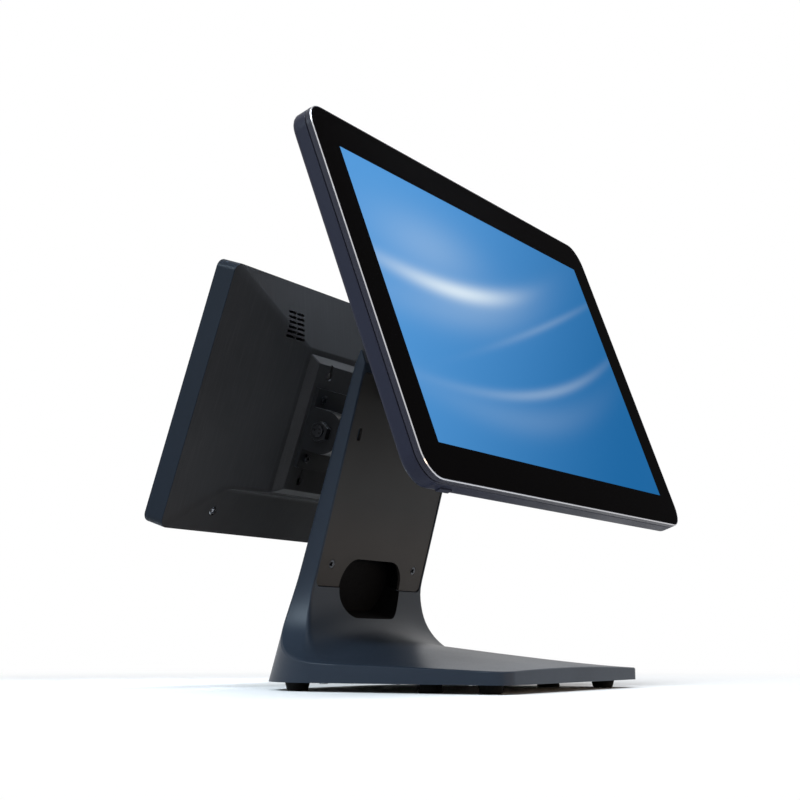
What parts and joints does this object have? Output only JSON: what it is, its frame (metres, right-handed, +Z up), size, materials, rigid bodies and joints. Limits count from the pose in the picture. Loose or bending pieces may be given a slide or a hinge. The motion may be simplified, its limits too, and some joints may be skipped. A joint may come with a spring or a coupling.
{
  "type": "pos touchscreen terminal",
  "caption": "Dual-screen till terminal: a large operator touch screen and a smaller customer screen tilt on one leaning cast stand with a covered cable channel.",
  "frame": {"origin": "on the table, under the middle of the whole part's bounding box", "axes": "+X to the operator's right, -Y towards the operator, +Y towards the customer, +Z up"},
  "size_m": [0.3948, 0.2408, 0.3448],
  "materials": {
    "touch_glass": "black printed border, gloss",
    "polished_trim": "polished silver",
    "housing_plastic": "dark purple-grey, fine texture",
    "lcd": "lit panel behind the glass",
    "light_guide": "clear light guide in a thin tray",
    "sheet_steel": "zinc-plated sheet",
    "screw_steel": "zinc-plated",
    "dark_screw": "black-zinc",
    "circuit_board": "green solder mask",
    "chip": "black package",
    "heatsink_aluminium": "extruded, clear",
    "socket_plastic": "black",
    "port_shell": "nickel-plated shell",
    "cast_aluminium": "dark blue-grey satin powder coat",
    "cover_paint": "dark brown-grey satin",
    "hinge_steel": "machined",
    "foot_rubber": "black, matt",
    "rear_cover_plastic": "near black, finely brushed",
    "button_plastic": "satin silver"
  },
  "bodies": {
    "stand": {"stand_casting": "cast_aluminium", "column_cover": "cover_paint", "cover_screws": "dark_screw", "base_plate": "sheet_steel", "base_plate_screws": "screw_steel", "rubber_feet": "foot_rubber", "tilt_bracket": "hinge_steel", "column_bolts": "dark_screw", "tilt_shafts": "hinge_steel", "tilt_washers": "hinge_steel", "tilt_nuts": "hinge_steel", "customer_arm": "cast_aluminium"},
    "main_screen": {"touch_glass": "touch_glass", "trim_ring": "polished_trim", "front_frame": "housing_plastic", "lcd_panel": "lcd", "backlight_tray": "light_guide", "chassis_sheet": "sheet_steel", "chassis_screws": "screw_steel", "rear_housing": "housing_plastic", "housing_screws": "screw_steel", "hinge_mount_frame": "sheet_steel", "mainboard": "circuit_board", "board_standoffs": "screw_steel", "board_screws": "screw_steel", "processor": "chip", "heatsink": "heatsink_aluminium", "memory_slot": "socket_plastic", "memory_module": "circuit_board", "storage_drive": "chip", "power_inlet": "socket_plastic", "network_port": "port_shell", "usb_ports": "port_shell", "video_port": "port_shell", "serial_ports": "port_shell", "speakers": "socket_plastic", "touch_controller": "circuit_board", "power_switch": "circuit_board", "tilt_leaf": "hinge_steel", "tilt_leaf_bolts": "dark_screw"},
    "power_button": {"power_button": "button_plastic"},
    "customer_screen": {"customer_glass": "touch_glass", "customer_frame": "cast_aluminium", "customer_lcd": "lcd", "customer_backlight": "light_guide", "customer_chassis": "sheet_steel", "customer_rear_cover": "rear_cover_plastic", "customer_cover_screws": "screw_steel", "customer_board": "circuit_board", "customer_standoffs": "screw_steel", "customer_port": "port_shell", "customer_leaf": "hinge_steel", "customer_leaf_screws": "screw_steel", "customer_shaft": "hinge_steel", "customer_washers": "hinge_steel", "customer_nuts": "hinge_steel"}
  },
  "joints": [
    {"name": "main_screen_tilt", "type": "hinge", "parent": "stand", "child": "main_screen", "pos_m": [0, -0.02719, 0.19514], "axis": [-1, 0, 0], "range_deg": [-15, 25]},
    {"name": "customer_screen_tilt", "type": "hinge", "parent": "stand", "child": "customer_screen", "pos_m": [0, 0.04419, 0.17088], "axis": [1, 0, 0], "range_deg": [-14, 10]},
    {"name": "power_button_press", "type": "slide", "parent": "main_screen", "child": "power_button", "axis": [0, 0.342, 0.9397], "range_m": [0, 0.0008], "stiffness_N_per_m": 900, "springref_m": -0.0008}
  ]
}
